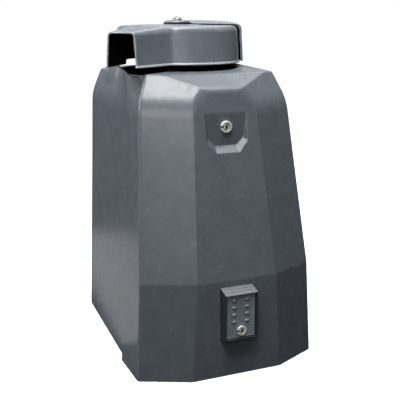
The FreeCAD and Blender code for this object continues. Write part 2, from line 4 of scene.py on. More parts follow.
import bpy
import numpy as np
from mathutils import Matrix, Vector


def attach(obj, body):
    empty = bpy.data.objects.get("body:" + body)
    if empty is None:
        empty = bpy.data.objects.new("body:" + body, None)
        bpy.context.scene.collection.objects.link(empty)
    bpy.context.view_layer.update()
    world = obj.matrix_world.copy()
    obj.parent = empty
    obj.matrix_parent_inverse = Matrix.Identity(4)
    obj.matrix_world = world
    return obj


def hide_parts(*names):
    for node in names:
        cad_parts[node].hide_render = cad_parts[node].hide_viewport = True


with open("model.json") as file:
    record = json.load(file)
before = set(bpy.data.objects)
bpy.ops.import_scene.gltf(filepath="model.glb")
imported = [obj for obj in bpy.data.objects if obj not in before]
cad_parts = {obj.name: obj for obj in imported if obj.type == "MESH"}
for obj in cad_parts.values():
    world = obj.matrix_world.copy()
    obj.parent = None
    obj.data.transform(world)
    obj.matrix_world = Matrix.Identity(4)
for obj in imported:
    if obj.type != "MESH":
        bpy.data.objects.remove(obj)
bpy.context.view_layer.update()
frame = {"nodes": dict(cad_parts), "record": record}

MM = 0.001
NODES = frame["nodes"]

# ---------------------------------------------------------------------------
# Smooth solids. Every moulded piece is written as a distance-like field in
# millimetres (negative inside), skinned with quads and settled on the field.
# ---------------------------------------------------------------------------


def smax(a, b, k):
    h = np.maximum(k - np.abs(a - b), 0.0)
    return np.maximum(a, b) + h * h * (0.25 / k)


def smin(a, b, k):
    h = np.maximum(k - np.abs(a - b), 0.0)
    return np.minimum(a, b) - h * h * (0.25 / k)


def step01(v):
    v = np.clip(v, 0.0, 1.0)
    return v * v * (3.0 - 2.0 * v)


def plane(points, inside):
    p = np.array(points, float)
    c = p.mean(0)
    n = np.linalg.svd(p - c)[2][2]
    if n @ (np.array(inside, float) - c) > 0:
        n = -n
    return n, float(n @ c)


def half(pl, x, y, z):
    n, d = pl
    return n[0] * x + n[1] * y + n[2] * z - d


def slab(x, y, z, lo, hi, k=0.0):
    a = np.maximum(lo[0] - x, x - hi[0])
    b = np.maximum(lo[1] - y, y - hi[1])
    c = np.maximum(lo[2] - z, z - hi[2])
    if k:
        return smax(smax(a, b, k), c, k)
    return np.maximum(np.maximum(a, b), c)


EDGES = [(a, b) for a in np.ndindex(2, 2, 2) for b in np.ndindex(2, 2, 2)
         if sum(b) == sum(a) + 1 and sum(abs(i - j) for i, j in zip(a, b)) == 1]


def skin(field, low, high, step, symmetric=False):
    """Closed quad skin of field = 0. symmetric: field depends on |x| only."""
    low, high = np.array(low, float), np.array(high, float)
    count = np.ceil((high - low) / step).astype(int) + 1
    if symmetric:
        n = int(math.ceil(high[0] / step))
        count[0], low[0] = 2 * n + 1, -n * step
    ax = [low[i] + step * np.arange(count[i]) for i in range(3)]
    f = np.empty(tuple(count), np.float32)
    for k in range(0, count[2], 12):
        xs = ax[0][count[0] // 2:] if symmetric else ax[0]
        gx, gy, gz = np.meshgrid(xs, ax[1], ax[2][k:k + 12], indexing="ij")
        part = field(gx, gy, gz)
        if symmetric:
            part = np.concatenate([part[:0:-1], part], 0)
        f[:, :, k:k + 12] = part
    f[np.abs(f) < 1e-4] = 1e-4
    inside = f < 0
    total = np.zeros(tuple(count - 1), np.uint8)
    for a in np.ndindex(2, 2, 2):
        total += inside[a[0]:count[0] - 1 + a[0], a[1]:count[1] - 1 + a[1], a[2]:count[2] - 1 + a[2]]
    active = (total > 0) & (total < 8)
    cells = np.argwhere(active)
    ident = np.full(active.shape, -1, np.int32)
    ident[active] = np.arange(len(cells))
    acc, num = np.zeros((len(cells), 3)), np.zeros(len(cells))
    for a, b in EDGES:
        fa = f[cells[:, 0] + a[0], cells[:, 1] + a[1], cells[:, 2] + a[2]]
        fb = f[cells[:, 0] + b[0], cells[:, 1] + b[1], cells[:, 2] + b[2]]
        m = (fa < 0) != (fb < 0)
        t = fa[m] / (fa[m] - fb[m])
        acc[m] += np.array(a) + t[:, None] * (np.array(b) - np.array(a))
        num[m] += 1
    verts = low + step * (cells + acc / num[:, None])
    quads = []
    for axis in range(3):
        u, w = [(1, 2), (2, 0), (0, 1)][axis]
        one = np.take(inside, range(count[axis] - 1), axis)
        two = np.take(inside, range(1, count[axis]), axis)
        e = np.argwhere(one != two)
        e = e[(e[:, u] > 0) & (e[:, w] > 0) & (e[:, u] < count[u] - 1) & (e[:, w] < count[w] - 1)]
        ring = []
        for du, dw in ((1, 1), (0, 1), (0, 0), (1, 0)):
            q = e.copy()
            q[:, u] -= du
            q[:, w] -= dw
            ring.append(ident[q[:, 0], q[:, 1], q[:, 2]])
        q = np.stack(ring, 1)
        flip = ~one[e[:, 0], e[:, 1], e[:, 2]]
        q[flip] = q[flip][:, ::-1]
        quads.append(q)
    return verts, np.concatenate(quads)


def slope(field, v, e=0.03):
    g = np.empty_like(v)
    for i in range(3):
        d = np.zeros(3)
        d[i] = e
        p, m = v + d, v - d
        g[:, i] = (field(p[:, 0], p[:, 1], p[:, 2]) - field(m[:, 0], m[:, 1], m[:, 2])) / (2 * e)
    return g


def settle(field, v, rounds, reach):
    for _ in range(rounds):
        g = slope(field, v)
        f = field(v[:, 0], v[:, 1], v[:, 2])
        move = np.clip(f / np.maximum((g * g).sum(1), 0.25), -reach, reach)
        v = v - move[:, None] * g
    return v


def mesh_from(name, verts, faces):
    me = bpy.data.meshes.new(name)
    me.vertices.add(len(verts))
    me.vertices.foreach_set("co", (np.asarray(verts) * MM).astype(np.float32).ravel())
    n = faces.shape[1]
    me.loops.add(faces.size)
    me.loops.foreach_set("vertex_index", faces.astype(np.int32).ravel())
    me.polygons.add(len(faces))
    me.polygons.foreach_set("loop_start", np.arange(len(faces), dtype=np.int32) * n)
    me.update(calc_edges=True)
    me.validate()
    return me


def link(name, me):
    ob = bpy.data.objects.new(name, me)
    bpy.context.scene.collection.objects.link(ob)
    return ob


def moulded(name, field, low, high, step, keep=1.0, symmetric=False):
    verts, quads = skin(field, low, high, step, symmetric)
    verts = settle(field, verts, 3, step * 0.6)
    ob = link(name, mesh_from(name, verts, quads))
    if keep < 1.0:
        mod = ob.modifiers.new("thin", "DECIMATE")
        mod.ratio = keep
        deps = bpy.context.evaluated_depsgraph_get()
        me = bpy.data.meshes.new_from_object(ob.evaluated_get(deps))
        old = ob.data
        ob.modifiers.clear()
        ob.data = me
        bpy.data.meshes.remove(old)
        me.name = name
    me = ob.data
    co = np.empty(len(me.vertices) * 3, np.float32)
    me.vertices.foreach_get("co", co)
    v = settle(field, co.reshape(-1, 3).astype(float) / MM, 2, step * 0.3)
    me.vertices.foreach_set("co", (v * MM).astype(np.float32).ravel())
    g = slope(field, v, 0.12)
    g /= np.maximum(np.linalg.norm(g, axis=1), 1e-6)[:, None]
    me.polygons.foreach_set("use_smooth", np.ones(len(me.polygons), bool))
    me.update()
    me.normals_split_custom_set_from_vertices([tuple(n) for n in g])
    return ob


def lathe(name, profile, center, axis, segs=72):
    """Turned piece: profile of (radius, height) round a closed section."""
    c = np.array(center, float)
    a = np.array(axis, float)
    u = np.cross(a, (0.0, 0.0, 1.0) if abs(a[2]) < 0.9 else (1.0, 0.0, 0.0))
    u /= np.linalg.norm(u)
    w = np.cross(a, u)
    ang = np.arange(segs) * 2 * math.pi / segs
    ring = np.cos(ang)[:, None] * u + np.sin(ang)[:, None] * w
    verts, rows = [], []
    for r, h in profile:
        if r < 1e-6:
            rows.append([len(verts)] * segs)
            verts.append(c + a * h)
        else:
            rows.append(list(range(len(verts), len(verts) + segs)))
            verts.extend(c + a * h + r * ring)
    faces = []
    n = len(profile)
    closed = profile[0][0] > 1e-6 and profile[-1][0] > 1e-6
    for i in range(n if closed else n - 1):
        p, q = rows[i], rows[(i + 1) % n]
        for k in range(segs):
            f = [p[k], p[(k + 1) % segs], q[(k + 1) % segs], q[k]]
            f = [x for j, x in enumerate(f) if x not in f[:j]]
            if len(f) > 2:
                faces.append(f)
    me = bpy.data.meshes.new(name)
    me.from_pydata([tuple(np.array(v) * MM) for v in verts], [], faces)
    me.validate()
    ob = link(name, me)
    import bmesh
    bm = bmesh.new()
    bm.from_mesh(me)
    bmesh.ops.recalc_face_normals(bm, faces=bm.faces)
    for e in bm.edges:
        e.smooth = not (len(e.link_faces) == 2 and e.calc_face_angle(0.0) > math.radians(38))
    for f in bm.faces:
        f.smooth = True
    bm.to_mesh(me)
    bm.free()
    return ob


# ---------------------------------------------------------------------------
# Cover
# ---------------------------------------------------------------------------
F0, S0 = (90.6, -297.8, 2.0), (183.5, -254.6, 2.0)
F1, S1 = (79.8, -293.5, 186.0), (174.4, -249.4, 186.0)
F2, S2 = (62.4, -234.6, 500.0), (150.7, -193.3, 500.0)
T1 = (33.2, -229.4, 527.8)
TOP_Z = 553.4
IN = (0.0, -60.0, 250.0)
FRONT_LO = plane([(-90.6, -297.8, 2), (90.6, -297.8, 2), (79.8, -293.5, 186), (-79.8, -293.5, 186)], IN)
FRONT_UP = plane([(-79.8, -293.5, 186), (79.8, -293.5, 186), (62.4, -234.6, 500), (-62.4, -234.6, 500)], IN)
CORNER_LO = plane([F0, S0, S1, F1], IN)
CORNER_UP = plane([F1, S1, S2, F2], IN)
BROW = plane([S2, F2, T1, (110.9, -181.8, 552.9), (126.9, -171.4, 550.5)], IN)
CAP = plane([(-50, -229.4, 527.8), (50, -229.4, 527.8), (50, -181.8, 552.9), (-50, -181.8, 552.9)], IN)
REAR_UP = plane([(-50, 140.0, 500), (50, 140.0, 500), (50, 132.0, 553), (-50, 132.0, 553)], IN)
POCKET_IN = (0.0, -246.0, 460.0)
FL, MO = -237.1, -254.0
POCKET_SIDE = plane([(42, FL, 487), (35.6, FL, 438), (50, MO, 487), (44.6, MO, 433)], POCKET_IN)
POCKET_CORNER = plane([(35.2, FL, 438), (20, FL, 427), (44.2, MO, 433), (25, MO, 412)], POCKET_IN)
POCKET_SILL = plane([(-20, FL, 427), (20, FL, 427), (25, MO, 412), (-25, MO, 412)], POCKET_IN)
WALL = 4.5


def side_width(y, z):
    wf = np.interp(z, [2, 186, 500], [183.5, 174.4, 150.7])
    yf = np.interp(z, [2, 186, 500], [-254.6, -249.4, -193.3])
    wr = 165.0 - (z - 2.0) * (19.5 / 498.0)
    w = wf + (wr - wf) * (y - yf) / (140.0 - yf)
    swell = np.clip(np.minimum((y + 254.6) / 97.6, (140.0 - y) / 297.0), 0.0, 1.0)
    return w + 4.4 * swell * np.clip(1.0 - z / 120.0, 0.0, 1.0)


def cover_outer(x, y, z):
    arm_side = step01(0.5 - x / 40.0)
    x = np.abs(x)
    f = smax(half(FRONT_LO, x, y, z), half(FRONT_UP, x, y, z), 0.25)
    c = smax(half(CORNER_LO, x, y, z), half(CORNER_UP, x, y, z), 0.25)
    f = smax(f, c, 1.1)
    side = (x - side_width(y, z)) * 0.996
    f = smax(f, side, 4.6)
    f = smax(f, smax(y - 140.0, half(REAR_UP, x, y, z), 0.4), 8.0)
    # shallow dish that lets the arm swing out over the shoulder
    t = 0.682 * x + 0.7314 * y
    edge = 0.973 * (x - 117.0) + 0.231 * y
    dish = step01((2.0 - edge) / 14.0) * step01((t + 38.0) / 35.0) * step01((98.0 - t) / 20.0) * arm_side
    # the side edges of the top rise beside the opening
    ramp = arm_side * step01((y + 20.0) / 35.0) + (1.0 - arm_side) * np.clip((y + 170.0) / 150.0, 0.0, 1.0)
    ridge = (x / 125.0) ** 4 * ramp * step01((95.0 - y) / 60.0)
    drop = (x / 125.0) ** 4 * step01((y - 35.0) / 60.0)
    w500 = 150.7 - 5.2 * (y + 193.3) / 333.3
    wtop = 124.0 + 5.1 * (132.0 - y) / 303.4
    sh = (x - (w500 + (wtop - w500) * (z - 500.0) / 53.0)) * 0.909 + 5.2 * dish * step01((z - 502.0) / 40.0) - 2.7 * ridge * step01((z - 515.0) / 38.0)
    g = smax(half(BROW, x, y, z), half(CAP, x, y, z), 1.8)
    g = smax(g, sh, 2.6)
    g = smax(g, z - TOP_Z + 8.4 * dish - 7.0 * ridge + 5.5 * drop, 3.2)
    f = smax(f, g, 7.0)
    pocket = smax(half(POCKET_SIDE, x, y, z), half(POCKET_CORNER, x, y, z), 0.8)
    pocket = smax(pocket, half(POCKET_SILL, x, y, z), 0.8)
    pocket = smax(pocket, z - 487.0, 1.2)
    pocket = smax(pocket, y - FL, 0.7)
    return smax(f, -pocket, 0.5)


def cover_field(x, y, z):
    o = cover_outer(x, y, z)
    x = np.abs(x)
    f = np.maximum(smax(o, 0.0 - z, 0.8), -(o + WALL))
    r = np.sqrt((x / 120.0) ** 2 + (y / 129.0) ** 2)
    f = smax(f, np.minimum(122.0 * (1.0 - r), z - 440.0), 2.8)
    f = smax(f, 0.0 - z, 0.5)
    notch = smax(np.maximum(150.0 - x, z - 14.0), -155.0 - y, 4.0)
    f = smax(f, -notch, 1.6)
    f = smax(f, -np.maximum(np.maximum(x - 110.0, z - 40.0), 110.0 - y), 1.4)
    f = np.maximum(f, -np.maximum(np.maximum(x - 25.0, np.abs(z - 122.0) - 38.0), y + 270.0))
    lock = np.sqrt(x * x + (z - 461.0) ** 2) - 9.7
    return np.maximum(f, -np.maximum(lock, y + 215.0))


cover = moulded("cover_moulding", cover_field, (-190, -304, -3), (190, 146, 566), 2.5, keep=0.3)

# ---------------------------------------------------------------------------
# Hood
# ---------------------------------------------------------------------------
HC, HS = math.cos(math.radians(43.0)), math.sin(math.radians(43.0))
HOOD_LOW = 564.8


def drum(x, y, z, grow=0.0, lift=0.0):
    r = np.sqrt(x * x + y * y)
    side = ((r - 127.0 - grow) * 54.0 + (z - HOOD_LOW) * 3.0) / 54.08
    top = z - (639.5 + lift - r * r * 0.00009)
    return smax(side, top, 13.0)


def spout(x, y, z, end):
    s = -HC * x - HS * y
    t = -HS * x + HC * y
    f = (s - 125.0) / 103.0
    lean = 4.6 * (z - HOOD_LOW) / 65.0
    side = np.maximum(t - (57.4 - 22.9 * f - lean), -t - (44.0 - 14.0 * f - lean)) * 0.98
    c = np.clip(f, -0.1, 1.1)
    f = smax(side, z - (637.4 - 8.7 * c), 15.5 - 8.5 * np.clip(c, 0.0, 1.0))
    return smax(np.maximum(f, -s), s - end, 1.0)


def wedge(x, y):
    return np.maximum(-(0.4067 * x + 0.9135 * y), -(0.9816 * x - 0.1908 * y))


def hood_outer(x, y, z, end=228.0):
    return smin(drum(x, y, z), spout(x, y, z, end), 6.0)


def hood_field(x, y, z):
    low = HOOD_LOW + 2.7 * step01((0.393 * x + 0.919 * y) / 90.0)
    lip = 1.5 * step01((low + 4.7 - z) / 2.6) * np.clip(wedge(x, y) / 3.0, 0.0, 1.0)
    f = smax(hood_outer(x, y, z) - lip, -(hood_outer(x, y, z, 400.0) + 3.6), 1.0)
    f = smax(f, low - z, 1.6)
    r = np.sqrt(x * x + y * y)
    f = smin(f, smax(r - 27.0, np.abs(z - 639.0) - 2.4, 0.5), 0.6)
    return np.maximum(f, 6.6 - r)


def sector_field(x, y, z):
    rise = 6.0 * np.clip((0.393 * x + 0.919 * y) / 110.0, 0.0, 1.0)
    f = np.maximum(drum(x, y, z, 8.2, 4.2 + rise), -drum(x, y, z, 3.0, 1.4))
    f = smax(f, wedge(x, y), 1.2)
    f = smax(f, 566.6 - z, 1.4)
    r = np.sqrt(x * x + y * y)
    return smax(f, 29.6 - r, 1.0)


hood = moulded("hood_moulding", hood_field, (-206, -196, 561), (132, 132, 644), 2.0, keep=0.5)
sector = moulded("hood_sector_moulding", sector_field, (-16, -62, 563), (140, 140, 654), 1.8, keep=0.45)

rubber_washer = lathe("hood_seal_washer", [(6.6, 641.5), (28.2, 641.5), (29.0, 642.0), (29.0, 643.0), (28.2, 643.5), (6.6, 643.5)], (0, 0, 0), (0, 0, 1))
steel_washer = lathe("hood_cap_washer", [(6.6, 643.5), (24.6, 643.5), (25.7, 644.0), (26.0, 645.2), (25.2, 646.6), (23.0, 647.5), (18.0, 648.0), (6.6, 648.0)], (0, 0, 0), (0, 0, 1))
dome = [(9.4, 648.0), (9.7, 648.7)] + [(9.6 * math.cos(a), 648.9 + 7.1 * math.sin(a)) for a in [i * math.pi / 2 / 9 for i in range(1, 10)]]
dome[-1] = (0.0, 656.0)
dome_nut = lathe("hood_dome_bolt", [(0.0, 602.0), (5.2, 602.0), (5.9, 602.8), (5.9, 648.0)] + dome, (0, 0, 0), (0, 0, 1))

# ---------------------------------------------------------------------------
# Reset box on the front
# ---------------------------------------------------------------------------
BOX_ROOF = plane([(-30, -318.0, 167.2), (30, -318.0, 167.2), (30, -294.0, 174.4), (-30, -294.0, 174.4)], (0, -300, 120))
BOX_BELLY = plane([(-30, -318.0, 78.5), (30, -318.0, 78.5), (30, -290.0, 70.0), (-30, -290.0, 70.0)], (0, -300, 120))


def reset_frame_field(x, y, z):
    c = cover_outer(x, y, z)
    a, b = np.abs(x), np.abs(x + 2.0)
    f = smax(b - 32.7, half(BOX_ROOF, x, y, z), 1.2)
    f = smax(f, half(BOX_BELLY, x, y, z), 2.2)
    f = smax(f, -318.0 - y, 2.4)
    f = np.maximum(f, -(c + 0.25))
    f = np.maximum(f, y + 288.0)
    front = smax(smax(b - 30.4, np.abs(z - 122.75) - 42.75, 1.2), y + 309.0, 0.8)
    f = smax(f, -front, 0.6)
    back = np.maximum(np.maximum(a - 25.0, np.abs(z - 124.75) - 40.75), y + 280.0)
    f = np.maximum(f, -back)
    pin = np.sqrt((y + 310.5) ** 2 + (z - 162.5) ** 2)
    f = np.maximum(f, -np.maximum(pin - 3.1, b - 30.4))
    f = np.maximum(f, -np.maximum(pin - 1.6, b - 33.6))
    keeper = np.maximum(np.maximum(a - 14.5, np.abs(z - 81.0) - 4.0), np.abs(y + 303.25) - 3.75)
    f = np.maximum(f, -keeper)
    # two shallow grooves across the visor
    for y0 in (-309.5, -301.5):
        f = smax(f, -np.maximum(np.abs(y - y0) - 0.8, -0.8 - half(BOX_ROOF, x, y, z)), 0.3)
    return f


reset_frame = moulded("reset_box_frame", reset_frame_field, (-36, -320, 66), (33, -285, 178), 0.85, keep=0.4)


def reset_door_field(x, y, z):
    a = np.abs(x + 2.0)
    f = smax(a - 29.2, np.abs(z - 121.5) - 40.5, 1.6)
    f = smax(f, np.abs(y + 310.6) - 1.4, 0.7)
    # raised border inside the edge
    border = np.maximum(np.maximum(a - 29.2, np.abs(z - 121.5) - 40.5), -np.maximum(a - 27.6, np.abs(z - 121.5) - 38.9))
    f = smin(f, smax(border, np.abs(y + 311.0) - 1.5, 0.6), 0.4)
    f = smin(f, np.maximum(np.sqrt((y + 310.5) ** 2 + (z - 162.5) ** 2) - 2.6, a - 29.2), 0.8)
    xx = np.abs(x + 1.8) - 13.2
    for k in range(4):
        dz = z - (153.4 - 13.8 * k)
        p = np.sqrt((xx / 5.0) ** 2 + ((y + 311.4) / 3.4) ** 2 + (dz / 4.0) ** 2)
        q = np.sqrt((xx / 25.0) ** 2 + ((y + 311.4) / 13.0) ** 2 + (dz / 16.0) ** 2)
        hoodlet = p * (p - 1.0) / np.maximum(q, 1e-4)
        hoodlet = smax(np.maximum(hoodlet, y + 309.4), -1.2 - dz, 0.5)
        f = smin(f, hoodlet, 0.7)
        gap = np.maximum(np.maximum(np.abs(xx) - 4.6, np.abs(dz + 1.9) - 1.1), np.abs(y + 311.2) - 2.6)
        f = smax(f, -gap, 0.4)
    f = np.maximum(f, 1.75 - np.sqrt((y + 310.5) ** 2 + (z - 162.5) ** 2))
    return np.maximum(f, 8.2 - np.sqrt(x * x + (z - 94.3) ** 2))


reset_door = moulded("reset_box_door", reset_door_field, (-32.5, -317, 79), (28.5, -306, 167), 0.62, keep=0.5)


def cam_lock(name_body, name_plug, z0, face, rim_r, bore_r, barrel_r, flange_back, back, plug_back, slot_w, slot_h, groove):
    """Round key lock facing -Y: a collar with a marker notch and a turning plug with its keyway."""

    def notch(x, y, z):
        return np.maximum(np.maximum(np.abs(z - z0 - 0.3) - 1.4, np.abs(x + rim_r * 0.80) - rim_r * 0.26), y - face - 2.6)

    def body(x, y, z):
        r = np.sqrt(x * x + (z - z0) ** 2)
        flange = smax(r - rim_r, np.maximum(face - y, y - flange_back), 1.5)
        dish = smax(flange, -(np.sqrt(r * r + (y - face + 21.0) ** 2) - 21.4), 0.4)
        barrel = np.maximum(r - barrel_r, np.maximum(flange_back - 1.0 - y, y - back))
        f = smin(dish, barrel, 0.3)
        f = smax(f, bore_r - r, 0.5)
        return smax(f, -notch(x, y, z), 0.3)

    def keyway(x, y, z):
        return np.maximum(smax(np.abs(x) - slot_w, np.abs(z - z0) - slot_h, 0.5), y - face - 9.0)

    def plug(x, y, z):
        r = np.sqrt(x * x + (z - z0) ** 2)
        f = smax(r - (bore_r - groove), np.maximum(face + 0.3 - y, y - plug_back), 0.7)
        return smax(f, -keyway(x, y, z), 0.4)

    # painted shade: the marker notch, the bore wall, the keyway and the groove round the plug take the near-black
    # lock_shade material
    def body_dark(x, y, z):
        r = np.sqrt(x * x + (z - z0) ** 2)
        return (notch(x, y, z) < 0.45) & (y > face + 0.9) | (y > face + 1.2) & (r < bore_r + 0.5)

    def plug_dark(x, y, z):
        r = np.sqrt(x * x + (z - z0) ** 2)
        return (keyway(x, y, z) < 0.35) & (y > face + 0.9) | (r > bore_r - groove - 0.4) & (y > face + 1.1)

    m = rim_r + 1.5
    b = moulded(name_body, body, (-m, face - 1.5, z0 - m), (m, back + 1.5, z0 + m), 0.42, keep=0.45)
    p = moulded(name_plug, plug, (-m, face - 1.0, z0 - m), (m, plug_back + 1.5, z0 + m), 0.42, keep=0.45)
    DARK.append((b, body_dark, "lock_shade"))
    DARK.append((p, plug_dark, "lock_shade"))
    return b, p


DARK = []
cover_lock_body, cover_lock_plug = cam_lock("cover_lock_collar", "cover_lock_keyway", 461.0, -242.6, 11.0, 6.9, 9.5, -237.1, -211.1, -208.6, 2.2, 4.3, 1.5)
door_lock_body, door_lock_plug = cam_lock("door_lock_collar", "door_lock_keyway", 94.3, -316.0, 9.5, 5.6, 8.1, -312.0, -304.5, -304.2, 2.1, 3.9, 0.7)
# painted shade: the cover's inner faces and a band round the inside of its top opening are made near-black
DARK.append((cover, lambda x, y, z: (cover_outer(x, y, z) < -3.9) | ((x / 120.0) ** 2 + (y / 129.0) ** 2 < 1.03) & (z < 549.0) & (z > 500.0), "painted_shade"))
# painted shade: the hood's inner faces are made near-black
DARK.append((hood, lambda x, y, z: (hood_outer(x, y, z) < -3.0) & (z < 637.0), "painted_shade"))
# painted highlight: the hood's outer lip band and the spout's end face take a lighter grey
DARK.append((hood, lambda x, y, z: (hood_outer(x, y, z, 400.0) > -3.2) & ((z < HOOD_LOW + 4.6) & (wedge(x, y) > 0.0) | (-HC * x - HS * y > 226.7)), "hood_edge_painted_highlight"))
# painted shade: the sector's inner faces are made near-black
DARK.append((sector, lambda x, y, z: drum(x, y, z, 3.0, 1.4) < 0.5, "painted_shade"))
# painted shade: the box frame's faces beside the cover get a near-black contact line
DARK.append((reset_frame, lambda x, y, z: (cover_outer(x, y, z) < 3.0) & (np.abs(x + 2.0) > 29.0), "painted_shade"))
# painted light: the box roof faces take a lighter copy of the frame plastic
DARK.append((reset_frame, lambda x, y, z: (half(BOX_ROOF, x, y, z) > -1.3) & (np.abs(x + 2.0) < 32.0), "visor_painted_light"))

# ---------------------------------------------------------------------------
# Materials
# ---------------------------------------------------------------------------


class Mat:
    def __init__(self, name):
        self.m = bpy.data.materials.new(name)
        self.m.use_nodes = True
        self.t = self.m.node_tree
        self.t.nodes.clear()
        self.out = self.t.nodes.new("ShaderNodeOutputMaterial")
        self.b = self.t.nodes.new("ShaderNodeBsdfPrincipled")
        self.t.links.new(self.b.outputs["BSDF"], self.out.inputs["Surface"])
        self.co = self.t.nodes.new("ShaderNodeTexCoord").outputs["Object"]

    def set(self, **kw):
        for k, v in kw.items():
            self.b.inputs[k.replace("_", " ")].default_value = v
        return self

    def noise(self, scale, detail=3.0, rough=0.55, stretch=None):
        n = self.t.nodes.new("ShaderNodeTexNoise")
        n.inputs["Scale"].default_value = scale
        n.inputs["Detail"].default_value = detail
        n.inputs["Roughness"].default_value = rough
        src = self.co
        if stretch:
            mp = self.t.nodes.new("ShaderNodeMapping")
            mp.inputs["Scale"].default_value = stretch
            self.t.links.new(src, mp.inputs["Vector"])
            src = mp.outputs["Vector"]
        self.t.links.new(src, n.inputs["Vector"])
        return n.outputs["Fac"]

    def cells(self, scale, feature="F1"):
        n = self.t.nodes.new("ShaderNodeTexVoronoi")
        n.feature = feature
        n.inputs["Scale"].default_value = scale
        self.t.links.new(self.co, n.inputs["Vector"])
        return n.outputs["Distance"]

    def ramp(self, fac, stops):
        n = self.t.nodes.new("ShaderNodeValToRGB")
        el = n.color_ramp.elements
        while len(el) < len(stops):
            el.new(0.5)
        for e, (p, c) in zip(el, stops):
            e.position = p
            e.color = (*c, 1.0) if len(c) == 3 else c
        self.t.links.new(fac, n.inputs["Fac"])
        return n.outputs["Color"]

    def colour(self, fac, lo, hi, a=0.35, b=0.65):
        self.t.links.new(self.ramp(fac, [(a, lo), (b, hi)]), self.b.inputs["Base Color"])
        return self

    def rough(self, fac, lo, hi):
        n = self.t.nodes.new("ShaderNodeMapRange")
        n.inputs["From Min"].default_value = 0.3
        n.inputs["From Max"].default_value = 0.7
        n.inputs["To Min"].default_value = lo
        n.inputs["To Max"].default_value = hi
        self.t.links.new(fac, n.inputs["Value"])
        self.t.links.new(n.outputs["Result"], self.b.inputs["Roughness"])
        return self

    def bump(self, heights):
        """heights: list of (socket, strength, distance), stacked."""
        last = None
        for h, s, d in heights:
            n = self.t.nodes.new("ShaderNodeBump")
            n.inputs["Strength"].default_value = s
            n.inputs["Distance"].default_value = d
            self.t.links.new(h, n.inputs["Height"])
            if last is not None:
                self.t.links.new(last, n.inputs["Normal"])
            last = n.outputs["Normal"]
        self.t.links.new(last, self.b.inputs["Normal"])
        return self


def tint(c, k):
    return tuple(v * k for v in c)


def moulded_plastic(name, c, lo, hi, grain, spec=0.5):
    m = Mat(name)
    m.set(Specular_IOR_Level=spec, IOR=1.5)
    m.colour(m.noise(30.0, 6.0, 0.75), tint(c, 0.90), tint(c, 1.10))
    m.rough(m.noise(55.0, 3.0), lo, hi)
    m.bump([(m.noise(9.0, 2.0), 0.015, 0.004), (m.cells(620.0), grain, 0.0004), (m.noise(1500.0, 2.0), grain * 0.2, 0.0002)])
    return m.m


def metal(name, c, lo, hi, brush=None, spots=0.12, share=1.0):
    m = Mat(name)
    m.set(Metallic=share)
    m.colour(m.noise(60.0, 4.0), tint(c, 1.0 - spots), tint(c, 1.0 + spots * 0.4))
    f = m.noise(420.0, 3.0, 0.6, brush) if brush else m.noise(160.0, 4.0, 0.6)
    m.rough(f, lo, hi)
    m.bump([(f, 0.10, 0.0002)])
    return m.m


def coat(name, c, lo, hi, peel, scale=260.0, shine=0.5):
    m = Mat(name)
    m.set(Specular_IOR_Level=shine)
    m.colour(m.noise(25.0, 5.0, 0.65), tint(c, 0.85), tint(c, 1.12))
    m.rough(m.noise(45.0, 3.0), lo, hi)
    m.bump([(m.noise(scale, 2.0), peel, 0.0004), (m.noise(scale * 4, 2.0), peel * 0.4, 0.0002)])
    return m.m


GREY = (0.118, 0.136, 0.156)
M = {}
M["cover_plastic"] = moulded_plastic("cover_plastic", GREY, 0.225, 0.28, 0.13)
M["hood_plastic"] = moulded_plastic("hood_plastic", tint(GREY, 1.42), 0.19, 0.26, 0.09)
M["box_plastic"] = moulded_plastic("box_plastic", tint(GREY, 1.95), 0.18, 0.25, 0.05)
# painted highlight: lighter grey for the hood lip and the spout end
M["hood_edge_painted_highlight"] = moulded_plastic("hood_edge_painted_highlight", (0.36, 0.38, 0.40), 0.26, 0.36, 0.05)
# painted shade: near-black copy of the box plastic for the box frame's walls and rims
M["frame_painted_shade"] = moulded_plastic("frame_painted_shade", tint(GREY, 0.30), 0.32, 0.42, 0.06)
# painted light: lighter copy of the same plastic for the box roof
M["visor_painted_light"] = moulded_plastic("visor_painted_light", (0.152, 0.166, 0.180), 0.30, 0.38, 0.04)
M["lock_metal"] = metal("lock_metal", (0.92, 0.92, 0.92), 0.22, 0.34, spots=0.06, share=0.25)
M["lock_shade"] = metal("lock_shade", (0.012, 0.012, 0.013), 0.45, 0.6, spots=0.2, share=0.5)
# painted shade: near-black matt coat for inner faces and for the seam between the box and the cover
M["painted_shade"] = coat("painted_shade", (0.0045, 0.0045, 0.005), 0.80, 0.92, 0.30, 420.0, shine=0.12)
M["zinc_steel"] = metal("zinc_steel", (0.24, 0.245, 0.25), 0.40, 0.52, spots=0.16, share=0.6)
M["steel_black"] = metal("steel_black", (0.045, 0.045, 0.048), 0.50, 0.65)
M["steel"] = metal("steel", (0.56, 0.56, 0.57), 0.20, 0.34, brush=(1.0, 1.0, 14.0))
M["alu"] = metal("alu", (0.72, 0.73, 0.74), 0.32, 0.46)
M["cap_alu"] = metal("cap_alu", (0.68, 0.69, 0.71), 0.22, 0.30, brush=(1.0, 1.0, 20.0))
M["bronze"] = metal("bronze", (0.66, 0.44, 0.19), 0.26, 0.42)
M["frame_paint"] = coat("frame_paint", (0.020, 0.022, 0.025), 0.34, 0.48, 0.22)
M["cast"] = coat("cast", (0.075, 0.085, 0.095), 0.46, 0.62, 0.45, 190.0)
M["motor_paint"] = coat("motor_paint", (0.016, 0.018, 0.022), 0.22, 0.34, 0.18)
M["part_black"] = coat("part_black", (0.018, 0.018, 0.020), 0.36, 0.48, 0.10, 500.0)
M["button_red"] = coat("button_red", (0.42, 0.018, 0.014), 0.22, 0.32, 0.06, 400.0)

